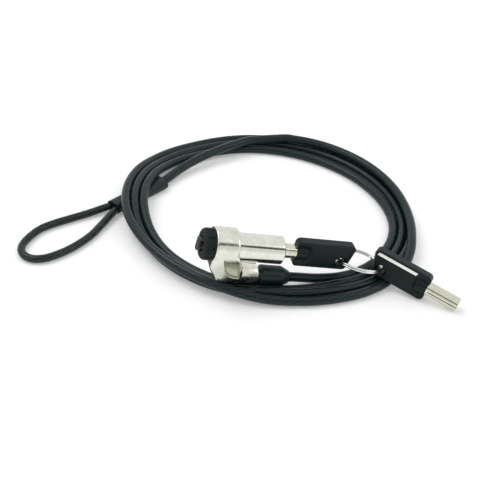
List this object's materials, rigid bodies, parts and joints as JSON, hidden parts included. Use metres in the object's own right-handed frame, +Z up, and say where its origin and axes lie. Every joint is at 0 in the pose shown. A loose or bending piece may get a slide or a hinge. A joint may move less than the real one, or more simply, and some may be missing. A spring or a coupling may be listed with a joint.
{
  "type": "laptop cable lock",
  "caption": "Cable lock with a T-bar head, tubular keys on a split ring and a coiled steel cable that ends in a plain loop.",
  "frame": {"origin": "on the surface that the lock lies on, under the middle of the lock head, keys and ring", "axes": "+X along the lock head from the T-bar to the key, +Y towards the back of the coil, +Z up"},
  "size_m": [0.2139, 0.1719, 0.0372],
  "materials": {
    "nickel": "satin nickel plate on a zinc casting",
    "bright_steel": "bright polished steel",
    "steel": "turned steel",
    "brass": "turned brass",
    "rubber": "matt black rubber",
    "key_plastic": "fine black moulding",
    "relief_plastic": "satin black moulding",
    "cable_jacket": "smooth dark grey jacket over a steel rope",
    "loop_jacket": "glossy clear jacket over a steel rope",
    "strip": "bright strip let into the plastic"
  },
  "bodies": {
    "lock_body": {"head_casting": "nickel", "barrel_sleeve": "nickel", "barrel_end_ring": "nickel", "barrel_set_pin": "steel", "front_plate": "steel", "guide_pins": "steel", "rubber_bumper": "rubber", "pin_block": "brass", "driver_pins": "brass", "pin_springs": "steel", "cable_lead": "cable_jacket", "cable_coil": "cable_jacket", "cable_tail": "cable_jacket", "cable_loop": "loop_jacket", "loop_sleeve": "relief_plastic", "loop_crimp": "steel"},
    "swivel": {"swivel_stud": "steel", "swivel_clip": "steel", "cable_ferrule": "nickel", "strain_relief": "relief_plastic"},
    "tbar_drive": {"tbar_spindle": "bright_steel", "spindle_clip": "steel", "drive_post": "steel", "plug": "brass", "key_pins": "brass"},
    "key_in_lock": {"key1_stem": "nickel", "key1_head": "key_plastic", "key1_strip": "strip"},
    "ring": {"key_ring": "bright_steel"},
    "spare_key": {"key2_stem": "nickel", "key2_head": "key_plastic", "key2_strip": "strip"}
  },
  "joints": [
    {"name": "cable_swivel", "type": "hinge", "parent": "lock_body", "child": "swivel", "pos_m": [-0.04784, 0.00908, 0.01096], "axis": [0.9833, 0, -0.1822], "continuous": true},
    {"name": "key_turn", "type": "hinge", "parent": "lock_body", "child": "tbar_drive", "pos_m": [-0.04498, 0.00908, 0.0264], "axis": [-0.9833, 0, 0.1822], "range_deg": [0, 90]},
    {"name": "key_pull", "type": "slide", "parent": "tbar_drive", "child": "key_in_lock", "axis": [0.9833, 0, -0.1822], "range_m": [0, 0.007]},
    {"name": "ring_swing", "type": "hinge", "parent": "key_in_lock", "child": "ring", "pos_m": [0.00849, 0.00908, 0.01364], "axis": [0.1707, -0.9848, -0.0316], "range_deg": [0, 90]},
    {"name": "key2_swing", "type": "hinge", "parent": "ring", "child": "spare_key", "pos_m": [0.03056, 0.00531, 0.00936], "axis": [-0.6081, -0.7806, 0.1446], "range_deg": [0, 60]}
  ],
  "couplings": [
    {"joint": "ring_swing", "follows": "key_turn", "ratio": 1}
  ]
}
